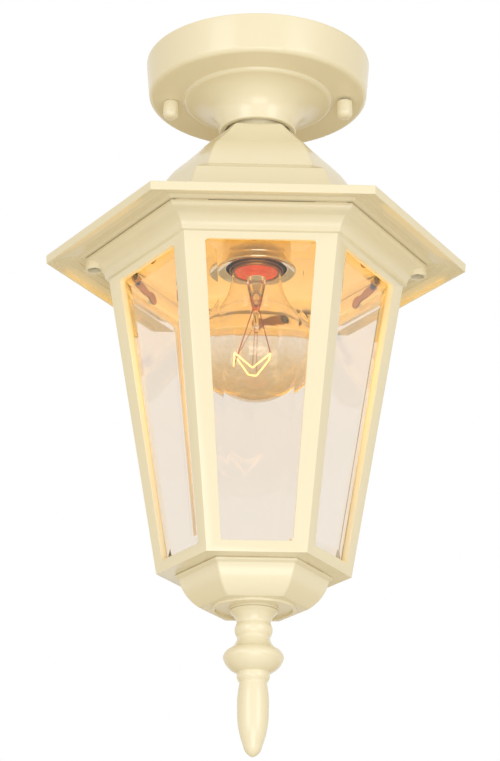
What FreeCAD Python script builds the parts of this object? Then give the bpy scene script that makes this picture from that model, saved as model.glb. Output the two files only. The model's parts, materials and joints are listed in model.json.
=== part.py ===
import FreeCAD, Part
import math
import os
import re

import Sketcher
from FreeCAD import Placement, Rotation, Vector

# A six-sided porch lantern that hangs from a ceiling.  Millimetres, +Z up.
# The origin is on the ceiling, in the middle of the round canopy, and the lantern hangs below it.
# Two of the six sides face +Y and -Y; the left and right corners lie on the X axis.

doc = FreeCAD.newDocument("PorchLantern")

# ---------------------------------------------------------------- driving dimensions

SIZES = {
    # canopy and bell
    "canopy_radius": 63.5,
    "canopy_depth": 22.0,
    "canopy_draft": 1.6,
    "canopy_wall": 2.0,
    "canopy_edge_radius": 3.2,
    "bell_radius": 40.2,
    "bell_bead": 2.0,
    "bell_height": 18.5,
    "bell_wall": 3.6,
    "bell_lip": 3.3,
    "bell_socket_depth": 4.5,
    "bell_web": 2.5,
    # ceiling bar
    "bar_end": 6.7,
    "bar_width": 16.0,
    "bar_thickness": 2.5,
    "box_screw_spacing": 70.0,
    "box_slot_length": 16.0,
    "box_slot_width": 5.0,
    # canopy studs and cap nuts
    "stud_gap": 2.75,
    "stud_offset": 3.8,
    "stud_radius": 2.0,
    "stud_tip": 29.0,
    "stud_nut_flats": 7.0,
    "stud_nut_height": 3.2,
    "cap_nut_radius": 4.35,
    "cap_nut_length": 10.6,
    "cap_nut_seat_gap": 0.05,
    "cap_nut_loose_gap": 1.1,
    # hollow nipple that carries the roof and the lampholder
    "nipple_radius": 4.95,
    "nipple_bore": 3.6,
    "nipple_top": 29.0,
    "nipple_nut_flats": 15.0,
    "nipple_nut_height": 4.0,
    "washer_thickness": 1.0,
    "washer_radius": 9.5,
    # roof, in distances from the axis to a flat side
    "collar_radius": 16.6,
    "dome_top_flat": 15.5,
    "dome_shoulder_flat": 23.7,
    "dome_knee_flat": 40.4,
    "dome_foot_flat": 48.8,
    "ledge_flat": 60.0,
    "skirt_foot_flat": 67.6,
    "brim_root_flat": 73.0,
    "brim_flat": 101.1,
    "dome_top_z": 44.3,
    "dome_shoulder_z": 48.7,
    "dome_knee_z": 66.9,
    "dome_foot_z": 84.6,
    "ledge_z": 91.6,
    "skirt_foot_z": 111.5,
    "brim_root_z": 115.8,
    "brim_z": 120.2,
    "fascia_height": 4.8,
    "roof_wall": 2.8,
    "brim_lip": 1.9,
    "brim_band_share": 0.49685534591,
    "brim_inner_band_share": 0.25786163522,
    "brim_rib_flat": 85.2,
    "brim_recess_z": 120.6,
    "roof_seat_z": 121.3,
    # cage: cornice, six posts and floor
    "cornice_flat": 82.3,
    "cornice_gap": 0.7,
    "cornice_bead": 2.9,
    "cornice_bead_draft": 1.2,
    "cornice_groove": 1.5,
    "cornice_wall": 5.3,
    "cove_foot_z": 134.0,
    "cove_step": 1.7,
    "face_top_flat": 70.5,
    "face_bottom_flat": 44.9,
    "face_bottom_z": 302.5,
    "post_depth": 7.2,
    "flange_thickness": 3.0,
    "rail_top_z": 125.6,
    "rail_ledge": 5.4,
    "floor_thickness": 2.4,
    "window_top_half": 29.4,
    "window_bottom_half": 18.7,
    "window_top_rail": 3.8,
    "window_bottom_rail": 5.9,
    "window_corner_radius": 1.8,
    "seat_lug_start": 28.0,
    "seat_lug_length": 17.0,
    "seat_lug_width": 4.4,
    # glass
    "glass_overlap": 2.4,
    "glass_play": 0.3,
    "glass_thickness": 4.0,
    "glass_edge": 1.8,
    "glass_bevel": 8.0,
    # glass clips
    "clip_pivot": 20.5,
    "clip_drop": 4.1,
    "clip_length": 20.0,
    "clip_width": 6.0,
    "clip_waist": 4.2,
    "clip_end_radius": 3.9,
    "clip_thickness": 0.8,
    "clip_gap": 0.15,
    "clip_turn": 14.0,
    "clip_screw_radius": 1.45,
    "clip_screw_length": 5.0,
    # roof screws
    "roof_screw_reach": 89.6,
    "roof_screw_radius": 2.0,
    "roof_screw_head": 3.4,
    "roof_screw_boss": 5.0,
    "roof_screw_boss_drop": 6.6,
    # bottom pan
    "pan_flat": 36.7,
    "pan_bead": 1.9,
    "pan_foot_flat": 25.0,
    "pan_depth": 17.9,
    "pan_wall": 2.4,
    "pan_ring_radius": 22.6,
    "pan_ring_width": 2.0,
    "pan_ring_height": 1.3,
    # finial and its stud
    "finial_flange": 12.9,
    "finial_length": 78.1,
    "finial_stud_radius": 3.0,
    "finial_thread_depth": 14.0,
    "finial_nut_flats": 10.0,
    "finial_nut_height": 5.0,
    # lampholder
    "holder_top_z": 58.0,
    "holder_boss_radius": 8.0,
    "holder_radius": 19.0,
    "holder_rim_radius": 22.0,
    "holder_mouth_radius": 16.7,
    "holder_mouth_z": 127.6,
    "holder_split_z": 92.0,
    "holder_wall": 1.0,
    "terminal_reach": 9.0,
    "core_top_z": 79.0,
    "core_bottom_z": 103.0,
    "shell_radius": 13.45,
    "shell_wall": 0.5,
    "shell_collar_radius": 14.9,
    "shell_collar_z": 119.0,
    # bulb
    "bulb_radius": 30.0,
    "bulb_centre_z": 173.0,
    "bulb_neck_radius": 14.0,
    "bulb_neck_z": 129.0,
    "bulb_glass_wall": 0.8,
    "cap_radius": 13.1,
    "cap_length": 25.0,
    "filament_z": 181.0,
    # leads
    "lead_radius": 1.1,
    "lead_spread": 1.7,
    "block_length": 30.0,
    "block_width": 15.0,
    "block_height": 11.0,
    # clearances
    "thread_play": 0.06,
    "seat_play": 0.05,
    "hole_play": 0.3,
}

sheet = doc.addObject("Spreadsheet::Sheet", "Sizes")
for row, (alias, number) in enumerate(SIZES.items(), start=1):
    sheet.set(f"A{row}", alias)
    sheet.set(f"B{row}", str(number))
    sheet.setAlias(f"B{row}", alias)
doc.recompute()

SIZE_WORD = re.compile(r"\b(" + "|".join(SIZES) + r")\b")


def size(expression):
    """The value of an expression in the sheet's own names."""
    return float(sheet.evalExpression(str(expression)))


def bind(thing, prop, expression):
    """Ties a property or constraint of an object to the sheet."""
    thing.setExpression(prop, SIZE_WORD.sub(r"Sizes.\1", str(expression)))


# ---------------------------------------------------------------- sketches and features

SUBPARTS = {}


def new_body(name):
    body = doc.addObject("PartDesign::Body", name)
    body.Label = name
    SUBPARTS[name] = body
    return body


def origin_feature(body, role):
    return [item for item in body.Origin.OriginFeatures if item.Role == role][0]


def new_sketch(body, plane, height="0"):
    """A sketch on one of the body's origin planes, moved along the plane's normal."""
    sketch = body.newObject("Sketcher::SketchObject", body.Name + "_sketch")
    sketch.AttachmentSupport = [(origin_feature(body, plane), "")]
    sketch.MapMode = "FlatFace"
    bind(sketch, "AttachmentOffset.Base.z", height)
    return sketch


def arc_between(start, end, bulge):
    """The arc from start to end whose bulge is the tangent of a quarter of its angle."""
    chord = end - start
    left = Vector(-chord.y, chord.x, 0)
    centre = (start + end) * 0.5 + left * ((1 - bulge * bulge) / (4 * bulge))
    radius = (start - centre).Length
    circle = Part.Circle(centre, Vector(0, 0, 1), radius)
    first, last = (start, end) if bulge > 0 else (end, start)
    angles = [math.atan2(point.y - centre.y, point.x - centre.x) for point in (first, last)]
    if angles[1] < angles[0]:
        angles[1] += 2 * math.pi
    return Part.ArcOfCircle(circle, *angles)


def outline(sketch, points):
    """Adds a closed outline.  Each point is (across, up) or (across, up, bulge of the edge
    that arrives at it), with both places written as expressions of the sheet's names."""
    places = [Vector(size(point[0]), size(point[1]), 0) for point in points]
    bulges = [point[2] if len(point) > 2 else 0 for point in points]
    count = len(points)
    first = sketch.GeometryCount
    edges = []
    ends = []
    for index in range(count):
        after = (index + 1) % count
        bulge = bulges[after]
        if bulge:
            edges.append(arc_between(places[index], places[after], bulge))
        else:
            edges.append(Part.LineSegment(places[index], places[after]))
        ends.append((2, 1) if bulge < 0 else (1, 2))
    sketch.addGeometry(edges, False)
    for index in range(count):
        after = (index + 1) % count
        joint = ("Coincident", first + index, ends[index][1], first + after, ends[after][0])
        sketch.addConstraint(Sketcher.Constraint(*joint))
    for index, point in enumerate(points):
        for kind, expression in (("DistanceX", point[0]), ("DistanceY", point[1])):
            fixed = (kind, -1, 1, first + index, ends[index][0], size(expression))
            number = sketch.addConstraint(Sketcher.Constraint(*fixed))
            bind(sketch, f"Constraints[{number}]", expression)
    for index in range(count):
        before, after = points[index], points[(index + 1) % count]
        bulge = bulges[(index + 1) % count]
        if not bulge:
            continue
        share = (1 - bulge * bulge) / (4 * bulge)
        chord = places[(index + 1) % count] - places[index]
        if abs(chord.y) > abs(chord.x):
            kind, along, over, share = "DistanceX", 0, 1, -share
        else:
            kind, along, over = "DistanceY", 1, 0
        centre = (f"(({before[along]}) + ({after[along]})) / 2"
                  f" + {share} * (({after[over]}) - ({before[over]}))")
        fixed = (kind, -1, 1, first + index, 3, size(centre))
        number = sketch.addConstraint(Sketcher.Constraint(*fixed))
        bind(sketch, f"Constraints[{number}]", centre)


def disc(sketch, radius, across="0", up="0"):
    """Adds a full circle to a sketch."""
    circle = Part.Circle(Vector(size(across), size(up), 0), Vector(0, 0, 1), size(radius))
    edge = sketch.addGeometry(circle, False)
    number = sketch.addConstraint(Sketcher.Constraint("Radius", edge, size(radius)))
    bind(sketch, f"Constraints[{number}]", radius)
    for kind, expression in (("DistanceX", across), ("DistanceY", up)):
        fixed = (kind, -1, 1, edge, 3, size(expression))
        number = sketch.addConstraint(Sketcher.Constraint(*fixed))
        bind(sketch, f"Constraints[{number}]", expression)


def rectangle(sketch, left, right, low, high):
    outline(sketch, [(left, low), (right, low), (right, high), (left, high)])


def pad(body, sketch, length, midplane=False, reverse=False):
    feature = body.newObject("PartDesign::Pad", body.Name + "_pad")
    feature.Profile = sketch
    feature.Midplane = midplane
    feature.Reversed = reverse
    bind(feature, "Length", length)
    return feature


def pocket(body, sketch, length, midplane=False, reverse=False):
    """A pocket, which has to take something away."""
    doc.recompute()
    volume_before = body.Shape.Volume
    feature = body.newObject("PartDesign::Pocket", body.Name + "_pocket")
    feature.Profile = sketch
    feature.Midplane = midplane
    feature.Reversed = reverse
    bind(feature, "Length", length)
    doc.recompute()
    if feature.Shape.Volume >= volume_before - 1e-6:
        raise RuntimeError(f"{feature.Label} takes nothing away")
    return feature


def turned(name, points):
    """A body turned about Z from one closed half outline of (radius, height) points."""
    body = new_body(name)
    sketch = new_sketch(body, "XZ_Plane")
    outline(sketch, points)
    feature = body.newObject("PartDesign::Revolution", name + "_turn")
    feature.Profile = sketch
    feature.ReferenceAxis = (sketch, ["V_Axis"])
    feature.Angle = 360
    return body


def polar(body, count, whole_shape=False, originals=()):
    feature = body.newObject("PartDesign::PolarPattern", body.Name + "_ring")
    feature.Axis = (origin_feature(body, "Z_Axis"), [""])
    feature.Angle = 360
    feature.Occurrences = count
    if whole_shape:
        feature.TransformMode = "Whole shape"
    else:
        feature.Originals = list(originals)
    body.Tip = feature
    return feature


def mitred_side(body, points):
    """One side of a six-sided ring: the wall's section, drawn as (distance to the flat side,
    height), is padded along the side and cut off at 30 degrees each way.  The side faces +Y."""
    section = new_sketch(body, "YZ_Plane")
    outline(section, points)
    side = max(size(point[0]) for point in points)
    pad(body, section, str(4 * side), midplane=True)
    cutter = new_sketch(body, "XY_Plane")
    far = 4 * side
    for sign in (1, -1):
        outline(cutter, [("0", "0"), (str(sign * far * 0.5), str(far * math.sqrt(0.75))),
                         (str(sign * far), str(far * math.sqrt(0.75))),
                         (str(sign * far), str(-side)), ("0", str(-side))])
    return pocket(body, cutter, str(20 * side), midplane=True)


def hexagon(sketch, flats):
    """Adds a hexagon with the given width across flats, two of them facing +Y and -Y."""
    corner = f"({flats}) / sqrt(3)"
    half = f"({flats}) / 2"
    outline(sketch, [(corner, "0"), (f"{corner} / 2", half), (f"-{corner} / 2", half),
                     (f"-{corner}", "0"), (f"-{corner} / 2", f"-{half}"), (f"{corner} / 2", f"-{half}")])


def hex_nut(name, flats, low, height, bore):
    """A hexagon nut with its bore, standing on the height low."""
    body = new_body(name)
    sketch = new_sketch(body, "XY_Plane", low)
    hexagon(sketch, flats)
    disc(sketch, bore)
    pad(body, sketch, height)
    return body


def group(name, master, placements):
    """Copies of one small piece, kept together as separate solids."""
    doc.recompute()
    feature = doc.addObject("Part::Feature", name)
    feature.Label = name
    feature.Shape = Part.makeCompound([master.Shape.transformed(at.toMatrix(), True) for at in placements])
    SUBPARTS[name] = feature
    return feature


# The six sides, counted anticlockwise from above, and the end of each that its clip is screwed to.
SIDES = ["back", "back_left", "front_left", "front", "front_right", "back_right"]
CLIP_SIDE = {"back": 1, "back_left": -1, "front_left": 1, "front": 1, "front_right": -1, "back_right": 1}

# ---------------------------------------------------------------- places that follow from the sizes

BELL_RIM_Z = "(-canopy_depth - bell_bead - bell_height)"
SOCKET_TOP_Z = f"({BELL_RIM_Z} + bell_socket_depth)"
WEB_TOP_Z = f"({SOCKET_TOP_Z} + bell_web)"
COLLAR_TOP_Z = SOCKET_TOP_Z
CORNICE_TOP_Z = "(-roof_seat_z - cornice_gap)"
FACE_TOP_Z = "(-cove_foot_z - 0.4)"
FACE_HEIGHT = f"({FACE_TOP_Z} + face_bottom_z)"
FACE_LEAN = f"atan((face_top_flat - face_bottom_flat) / {FACE_HEIGHT})"
RAIL_RISE = f"((-rail_top_z - {FACE_TOP_Z}) / cos({FACE_LEAN}))"
FLOOR_TOP_Z = "(-face_bottom_z + floor_thickness)"
PAN_TOP_Z = "(-face_bottom_z)"
PAN_FOOT_Z = f"({PAN_TOP_Z} - pan_depth)"
STUD_REACH = "(bell_radius + bell_bead + stud_gap + cap_nut_radius)"
BRIM_BAND_FLAT = "(brim_rib_flat + brim_band_share * (brim_flat - brim_rib_flat))"
BRIM_INNER_BAND_FLAT = "(brim_rib_flat + brim_inner_band_share * (brim_flat - brim_rib_flat))"
FINIAL_TOP_Z = f"({PAN_FOOT_Z} - pan_ring_height - seat_play)"


def stud_place(side):
    """Where the left (-1) or right (1) stud stands.  The two tapped holes of the bar are staggered."""
    return f"{side} * {STUD_REACH}", f"{-side} * stud_offset"


def face_flat(height):
    """Distance from the axis to the sloping outer face at a height."""
    return f"(face_bottom_flat + (({height}) + face_bottom_z) * tan({FACE_LEAN}))"


def turned_side(count):
    """The turn about Z that carries the back side (+Y) round to the side with this number."""
    return Placement(Vector(), Rotation(Vector(0, 0, 1), 60 * count))


def on_face(depth, down_slope, across=0.0, turn=0.0):
    """A place on the back side: x runs to the right seen from inside the lantern's axis,
    y up the slope and z inwards.  The start is the top edge of the outer face."""
    lean = size(FACE_LEAN)
    corner = Placement(Vector(0, size("face_top_flat"), size(FACE_TOP_Z)), Rotation(Vector(1, 0, 0), 90 - lean))
    inner = Placement(Vector(across, -down_slope, depth), Rotation(Vector(0, 0, 1), turn))
    return corner.multiply(inner)


# ---------------------------------------------------------------- canopy

def make_canopy():
    """One casting: a shallow drum with a trumpet-shaped bell and a socket for the roof collar."""
    inner_radius = "(bell_height + bell_wall)"
    bell_centre_z = BELL_RIM_Z
    floor_reach = (f"(bell_radius - sqrt(({inner_radius})^2 - ({WEB_TOP_Z} - {bell_centre_z})^2))")
    trumpet_bulge = 0.414
    inner_turn = math.asin((size(WEB_TOP_Z) - size(bell_centre_z)) / size(inner_radius))
    inner_bulge = -math.tan((math.pi / 2 - inner_turn) / 4)
    rim_radius = "(bell_radius - bell_height)"
    socket_radius = f"({rim_radius} - bell_lip)"
    underside = "(-canopy_depth)"
    body = turned("canopy", [
        ("canopy_radius", "0"),
        ("canopy_radius - canopy_draft", f"{underside} + canopy_edge_radius"),
        ("canopy_radius - canopy_draft - canopy_edge_radius", underside, -0.414),
        ("bell_radius + bell_bead", underside),
        ("bell_radius", f"{underside} - bell_bead", -0.35),
        (rim_radius, f"{BELL_RIM_Z} + 0.6", trumpet_bulge),
        (f"{rim_radius} - 0.6", BELL_RIM_Z),
        (f"{socket_radius} + 1.2", f"{BELL_RIM_Z}"),
        (socket_radius, f"{BELL_RIM_Z} + 1.2"),
        (socket_radius, SOCKET_TOP_Z),
        ("nipple_radius + hole_play", SOCKET_TOP_Z),
        ("nipple_radius + hole_play", WEB_TOP_Z),
        (floor_reach, WEB_TOP_Z),
        ("bell_radius", f"{bell_centre_z} + {inner_radius}", inner_bulge),
        ("canopy_radius - canopy_draft - canopy_edge_radius", f"{bell_centre_z} + {inner_radius}"),
        ("canopy_radius - canopy_draft - canopy_wall", f"{underside} + canopy_edge_radius + 1"),
        ("canopy_radius - canopy_wall", "0"),
    ])
    holes = new_sketch(body, "XY_Plane", underside)
    for side in (-1, 1):
        disc(holes, "stud_radius + hole_play", *stud_place(side))
    pocket(body, holes, "canopy_depth", midplane=True)


def make_mounting_bar():
    """The flat steel bar that is screwed to the ceiling box through its two slots."""
    body = new_body("mounting_bar")
    flat = new_sketch(body, "XY_Plane")
    end = f"({STUD_REACH} + bar_end - bar_width / 2)"
    outline(flat, [(f"-{end}", "-bar_width / 2", 1.0), (end, "-bar_width / 2"),
                   (end, "bar_width / 2", 1.0), (f"-{end}", "bar_width / 2")])
    pad(body, flat, "bar_thickness", reverse=True)
    cuts = new_sketch(body, "XY_Plane")
    for side in (-1, 1):
        middle = f"{side} * box_screw_spacing / 2"
        reach = "(box_slot_length - box_slot_width) / 2"
        outline(cuts, [(f"{middle} - {reach}", "-box_slot_width / 2", 1.0),
                       (f"{middle} + {reach}", "-box_slot_width / 2"),
                       (f"{middle} + {reach}", "box_slot_width / 2", 1.0),
                       (f"{middle} - {reach}", "box_slot_width / 2")])
        disc(cuts, "stud_radius + thread_play", *stud_place(side))
    pocket(body, cuts, "4 * bar_thickness", midplane=True)


def make_stud_hardware():
    """Two threaded studs, their locknuts under the bar, and the two domed cap nuts."""
    stud = turned("stud_master", [("0", "0"), ("stud_radius", "0"), ("stud_radius", "-stud_tip + 0.5"),
                                  ("stud_radius - 0.5", "-stud_tip"), ("0", "-stud_tip")])
    nut = hex_nut("locknut_master", "stud_nut_flats", "-bar_thickness - stud_nut_height",
                  "stud_nut_height", "stud_radius + thread_play")
    places = [Placement(Vector(*map(size, stud_place(side)), 0), Rotation()) for side in (-1, 1)]
    for name, master in (("canopy_studs", stud), ("stud_locknuts", nut)):
        group(name, master, places)
        del SUBPARTS[master.Label]
    for name, side, gap in (("cap_nut_left", -1, "cap_nut_seat_gap"), ("cap_nut_right", 1, "cap_nut_loose_gap")):
        top = f"(-canopy_depth - {gap})"
        low = f"({top} - cap_nut_length)"
        bore = "(stud_radius + thread_play)"
        body = turned(name, [
            (bore, top), ("cap_nut_radius - 0.6", top), ("cap_nut_radius", f"{top} - 0.6"),
            ("cap_nut_radius", f"{low} + 3.2"), ("cap_nut_radius - 1.4", f"{low} + 0.7", -0.2),
            ("0", low, -0.15), ("0", f"{low} + 2.2"), (bore, f"{low} + 3.0")])
        body.Placement = Placement(Vector(*map(size, stud_place(side)), 0), Rotation())


# ---------------------------------------------------------------- hollow nipple and its nuts

def make_nipple():
    """The threaded tube that hangs the roof and the lampholder from the canopy."""
    turned("hanging_nipple", [("nipple_bore", "-nipple_top"), ("nipple_radius", "-nipple_top"),
                              ("nipple_radius", "-holder_top_z - 6"), ("nipple_bore", "-holder_top_z - 6")])
    bore = "(nipple_radius + thread_play)"
    roof_ceiling = "(-dome_top_z - roof_wall)"
    for name, seat, sign in (("top_washer", WEB_TOP_Z, 1), ("roof_washer", roof_ceiling, -1)):
        other = f"{seat} + {sign} * washer_thickness"
        turned(name, [(bore, seat), ("washer_radius", seat), ("washer_radius", other), (bore, other)])
    hex_nut("top_nut", "nipple_nut_flats", f"{WEB_TOP_Z} + washer_thickness", "nipple_nut_height", bore)
    hex_nut("roof_nut", "nipple_nut_flats", f"{roof_ceiling} - washer_thickness - nipple_nut_height",
            "nipple_nut_height", bore)


# ---------------------------------------------------------------- roof

def make_roof():
    """A six-sided casting: round collar, curved dome, sloping ledge, skirt and wide brim."""
    body = new_body("roof")
    wall = "roof_wall"
    seat = "(-roof_seat_z)"
    recess = "(-brim_recess_z)"
    lip = "(-brim_z - fascia_height)"
    mitred_side(body, [
        ("0", "-dome_top_z"),
        ("dome_top_flat", "-dome_top_z"),
        ("dome_shoulder_flat", "-dome_shoulder_z", -0.2),
        ("dome_knee_flat", "-dome_knee_z", 0.035),
        ("dome_foot_flat", "-dome_foot_z", -0.1),
        ("ledge_flat", "-ledge_z"),
        ("skirt_foot_flat", "-skirt_foot_z"),
        ("brim_root_flat", "-brim_root_z", 0.25),
        ("brim_flat", "-brim_z"),
        ("brim_flat - 0.3", lip),
        ("brim_flat - brim_lip", lip),
        ("brim_flat - brim_lip - 0.4", f"{recess} - 1.9"),
        (BRIM_BAND_FLAT, f"{recess} - 1.7"),
        (f"{BRIM_BAND_FLAT} - 0.4", f"{recess} - 0.9"),
        (BRIM_INNER_BAND_FLAT, f"{recess} - 0.7"),
        (f"{BRIM_INNER_BAND_FLAT} - 0.4", recess),
        ("brim_rib_flat", f"{recess} + 0.6"),
        ("brim_rib_flat - 1.9", seat, -0.25),
        ("skirt_foot_flat + 1.9", seat),
        ("skirt_foot_flat + 1.9", "-brim_root_z - 2.6"),
        (f"skirt_foot_flat - {wall}", "-skirt_foot_z - 1.8", -0.25),
        (f"ledge_flat - {wall}", "-ledge_z - 1.9"),
        (f"dome_foot_flat - {wall}", "-dome_foot_z - 1.9"),
        (f"dome_knee_flat - {wall} - 0.4", "-dome_knee_z - 1.3", 0.1),
        ("dome_shoulder_flat - 1.8", f"-dome_shoulder_z - {wall} - 1.0", -0.035),
        ("dome_top_flat", f"-dome_top_z - {wall}", 0.2),
        ("0", f"-dome_top_z - {wall}"),
    ])
    polar(body, 6, whole_shape=True)
    collar = new_sketch(body, "XY_Plane", f"-dome_top_z - {wall} / 2")
    disc(collar, "collar_radius")
    pad(body, collar, f"{COLLAR_TOP_Z} + dome_top_z + {wall} / 2")
    bore = new_sketch(body, "XY_Plane", COLLAR_TOP_Z)
    disc(bore, "nipple_radius + hole_play")
    pocket(body, bore, f"2 * ({COLLAR_TOP_Z} + dome_top_z + {wall} + 1)", midplane=True)
    screws = new_sketch(body, "XY_Plane", seat)
    for side in (-1, 1):
        disc(screws, "roof_screw_radius + hole_play", f"{side} * roof_screw_reach")
    pocket(body, screws, "3.2", reverse=True)


# ---------------------------------------------------------------- cage

def sloping_sketch(body, depth, count=0):
    """A sketch on one side, parallel to the sloping face and so deep behind it.
    Across is x, and up the slope from the face's top edge is y."""
    sketch = body.newObject("Sketcher::SketchObject", body.Name + "_sketch")
    sketch.AttachmentSupport = [(origin_feature(body, "XY_Plane"), "")]
    sketch.MapMode = "FlatFace"
    sketch.AttachmentOffset = turned_side(count).multiply(on_face(size(depth), 0))
    return sketch


SLOPE_LENGTH = f"({FACE_HEIGHT} / cos({FACE_LEAN}))"


def window(sketch, grow, corner):
    """The window's outline with rounded corners, grown all round."""
    top = f"(-window_top_rail + ({grow}))"
    low = f"(-{SLOPE_LENGTH} + window_bottom_rail - ({grow}))"
    top_half = f"(window_top_half + ({grow}))"
    low_half = f"(window_bottom_half + ({grow}))"
    lean = f"(({top_half} - {low_half}) / ({top} - {low}))"
    if size(corner) <= 0:
        outline(sketch, [(f"-{low_half}", low), (low_half, low), (top_half, top), (f"-{top_half}", top)])
        return
    outline(sketch, [
        (f"-{low_half} + {corner}", low, 0.42), (f"{low_half} - {corner}", low),
        (f"{low_half} + {lean} * {corner}", f"{low} + {corner}", 0.42),
        (f"{top_half} - {lean} * {corner}", f"{top} - {corner}"),
        (f"{top_half} - {corner}", top, 0.4),
        (f"-{top_half} + {corner}", top),
        (f"-{top_half} + {lean} * {corner}", f"{top} - {corner}", 0.4),
        (f"-{low_half} - {lean} * {corner}", f"{low} + {corner}")])


def make_cage():
    """One casting: a moulded cornice, six posts with rebates for the glass, and a floor."""
    body = new_body("cage")
    inner_shift = f"(post_depth / cos({FACE_LEAN}))"
    bead_low = f"{CORNICE_TOP_Z} - cornice_bead"
    mitred_side(body, [
        ("cornice_flat - cornice_wall", CORNICE_TOP_Z),
        ("cornice_flat", CORNICE_TOP_Z),
        ("cornice_flat - cornice_bead_draft", bead_low, -0.35),
        ("cornice_flat - cornice_bead_draft - cornice_groove", f"{bead_low} - 0.7"),
        ("face_top_flat + cove_step", "-cove_foot_z", 0.33),
        ("face_top_flat", FACE_TOP_Z),
        ("face_bottom_flat", "-face_bottom_z"),
        ("0", "-face_bottom_z"),
        ("0", FLOOR_TOP_Z),
        (f"{face_flat(FLOOR_TOP_Z)} - {inner_shift}", FLOOR_TOP_Z),
        (f"{face_flat('-rail_top_z')} - {inner_shift}", "-rail_top_z"),
        (f"{face_flat('-rail_top_z')} - {inner_shift} + rail_ledge", "-rail_top_z"),
    ])
    opening = sloping_sketch(body, "0")
    window(opening, "0", "window_corner_radius")
    pocket(body, opening, "4 * post_depth", midplane=True)
    rebate = sloping_sketch(body, "flange_thickness")
    window(rebate, "glass_overlap + glass_play", "0")
    pocket(body, rebate, "4 * post_depth", reverse=True)
    polar(body, 6, whole_shape=True)

    bosses = new_sketch(body, "XY_Plane", f"{CORNICE_TOP_Z} - roof_screw_boss_drop")
    for side in (-1, 1):
        disc(bosses, "roof_screw_boss", f"{side} * roof_screw_reach")
    pad(body, bosses, "roof_screw_boss_drop")
    lugs = new_sketch(body, "XY_Plane", f"{CORNICE_TOP_Z} - 0.5")
    outer = "(cornice_flat - 0.5)"
    for left, right in (("seat_lug_start", "seat_lug_start + seat_lug_length"),
                        ("-seat_lug_start - seat_lug_length", "-seat_lug_start")):
        rectangle(lugs, left, right, f"-{outer}", f"-{outer} + seat_lug_width")
        rectangle(lugs, left, right, f"{outer} - seat_lug_width", outer)
    pad(body, lugs, "cornice_gap - seat_play + 0.5")

    holes = new_sketch(body, "XY_Plane", CORNICE_TOP_Z)
    for side in (-1, 1):
        disc(holes, "roof_screw_radius + hole_play", f"{side} * roof_screw_reach")
    pocket(body, holes, "4 * roof_screw_boss_drop", midplane=True)
    sinks = new_sketch(body, "XY_Plane", f"{CORNICE_TOP_Z} - roof_screw_boss_drop")
    for side in (-1, 1):
        disc(sinks, "roof_screw_head + hole_play", f"{side} * roof_screw_reach")
    pocket(body, sinks, "roof_screw_boss_drop - 2.4", reverse=True)
    for count, side in enumerate(SIDES):
        tapped = sloping_sketch(body, "post_depth", count)
        disc(tapped, "clip_screw_radius + thread_play", f"{CLIP_SIDE[side]} * clip_pivot", f"{RAIL_RISE} - clip_drop")
        pocket(body, tapped, "clip_screw_length - clip_thickness")
    centre = new_sketch(body, "XY_Plane", FLOOR_TOP_Z)
    disc(centre, "finial_stud_radius + hole_play")
    pocket(body, centre, "4 * floor_thickness", midplane=True)
    weep = new_sketch(body, "XY_Plane", FLOOR_TOP_Z)
    disc(weep, "2", "0", "0.7 * face_bottom_flat")
    cut = pocket(body, weep, "4 * floor_thickness", midplane=True)
    polar(body, 3, originals=[cut])


# ---------------------------------------------------------------- glass, clips and screws


def make_glass():
    """Six bevelled panes.  Each stands in its rebate with the bevel outwards."""
    grow = "glass_overlap"
    top = f"(-window_top_rail + {grow})"
    low = f"(-{SLOPE_LENGTH} + window_bottom_rail - {grow})"
    top_half = f"(window_top_half + {grow})"
    low_half = f"(window_bottom_half + {grow})"
    lean = f"(({top_half} - {low_half}) / ({top} - {low}))"
    side_inset = f"(glass_bevel * sqrt(1 + {lean}^2))"
    in_top, in_low = f"({top} - glass_bevel)", f"({low} + glass_bevel)"
    in_top_half = f"({top_half} - {lean} * glass_bevel - {side_inset})"
    in_low_half = f"({low_half} + {lean} * glass_bevel - {side_inset})"
    rise_at_flange = size("(glass_thickness - glass_edge) * glass_overlap / glass_bevel")
    depth = size("flange_thickness + glass_edge + glass_play") + rise_at_flange
    for count, side in enumerate(SIDES):
        body = new_body("glass_" + side)
        edge = new_sketch(body, "XY_Plane", "-glass_edge")
        outline(edge, [(f"-{low_half}", low), (low_half, low), (top_half, top), (f"-{top_half}", top)])
        pad(body, edge, "glass_edge")
        foot = new_sketch(body, "XY_Plane", "-glass_edge")
        outline(foot, [(f"-{low_half}", low), (low_half, low), (top_half, top), (f"-{top_half}", top)])
        crest = new_sketch(body, "XY_Plane", "-glass_thickness")
        outline(crest, [(f"-{in_low_half}", in_low), (in_low_half, in_low),
                        (in_top_half, in_top), (f"-{in_top_half}", in_top)])
        bevel = body.newObject("PartDesign::AdditiveLoft", body.Name + "_bevel")
        bevel.Profile = foot
        bevel.Sections = [crest]
        bevel.Ruled = True
        body.Tip = bevel
        body.Placement = turned_side(count).multiply(on_face(depth, 0))


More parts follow.
